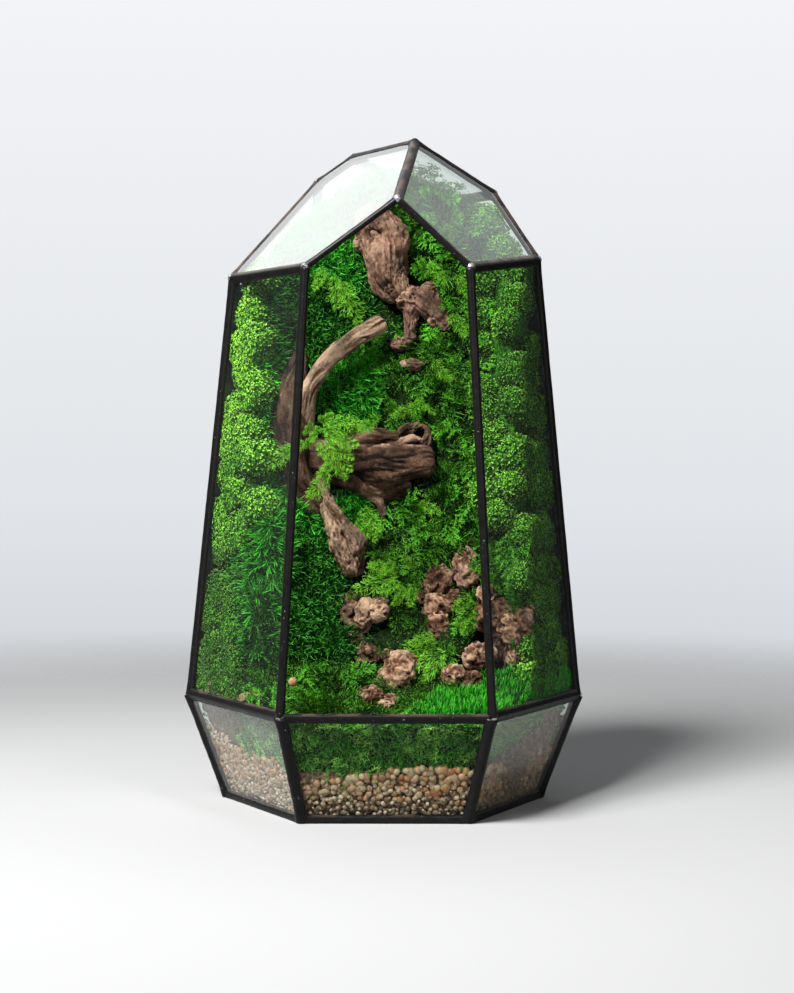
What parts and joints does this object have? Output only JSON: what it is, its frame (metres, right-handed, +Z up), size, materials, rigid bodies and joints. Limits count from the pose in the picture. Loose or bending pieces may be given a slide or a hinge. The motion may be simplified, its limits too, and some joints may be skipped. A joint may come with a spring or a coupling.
{
  "type": "glass plant terrarium",
  "caption": "Crystal-shaped six-sided glass terrarium with dark solder seams and an open upper front face, planted with mosses, driftwood and stones on soil and gravel.",
  "frame": {"origin": "centre of the underside of the base, on the surface that the terrarium stands on", "axes": "+Z up, -Y out of the open upper front face, +X to the right as seen from the front"},
  "size_m": [0.1958, 0.1696, 0.3241],
  "materials": {
    "glass": "clear polished sheet glass with a faint green tint",
    "solder": "black patina over solder, worn to a brownish sheen on the upper edges",
    "gravel": "rounded pebbles in tan, orange, white and grey",
    "soil": "damp crumbly peat soil with bark fibres",
    "wood": "weathered bare driftwood with open grain",
    "stone": "rough knobby brown stone",
    "moss_bun": "light green bun moss with fine tight leaves",
    "moss_needle": "deep green moss with needle leaves",
    "moss_feather": "yellow-green feathery moss",
    "moss_grass": "bright green fine upright moss"
  },
  "bodies": {
    "root": {"base_pane": "glass", "base_rim": "solder", "belt_rim": "solder", "driftwood_main": "wood", "driftwood_upper": "wood", "gravel_bed": "gravel", "lower_pane_front": "glass", "lower_pane_left_front": "glass", "lower_pane_left_rear": "glass", "lower_pane_rear": "glass", "lower_pane_right_front": "glass", "lower_pane_right_rear": "glass", "lower_seam_front_left": "solder", "lower_seam_front_right": "solder", "lower_seam_left": "solder", "lower_seam_rear_left": "solder", "lower_seam_rear_right": "solder", "lower_seam_right": "solder", "moss_column_left_high": "moss_bun", "moss_column_left_low": "moss_bun", "moss_column_right_high": "moss_bun", "moss_column_right_low": "moss_bun", "moss_crown": "moss_feather", "moss_draped_frond": "moss_feather", "moss_floor_left": "moss_feather", "moss_floor_right": "moss_grass", "moss_front_skirt": "moss_needle", "moss_low_left": "moss_needle", "moss_low_middle": "moss_feather", "moss_low_right": "moss_feather", "moss_middle_left": "moss_needle", "moss_middle_right": "moss_feather", "moss_tuft_left": "moss_needle", "moss_upper_left": "moss_needle", "moss_upper_right": "moss_feather", "roof_pane_left": "glass", "roof_pane_rear": "glass", "roof_pane_right": "glass", "roof_ridges": "solder", "roof_rim": "solder", "soil_bank": "soil", "stone_left": "stone", "stone_low_front": "stone", "stone_low_mid": "stone", "stone_right_big": "stone", "stone_right_low": "stone", "stone_right_mid": "stone", "stone_right_top": "stone", "upper_pane_left_front": "glass", "upper_pane_left_rear": "glass", "upper_pane_rear": "glass", "upper_pane_right_front": "glass", "upper_pane_right_rear": "glass", "upper_seam_front_left": "solder", "upper_seam_front_right": "solder", "upper_seam_left": "solder", "upper_seam_rear_left": "solder", "upper_seam_rear_right": "solder", "upper_seam_right": "solder"}
  },
  "joints": []
}
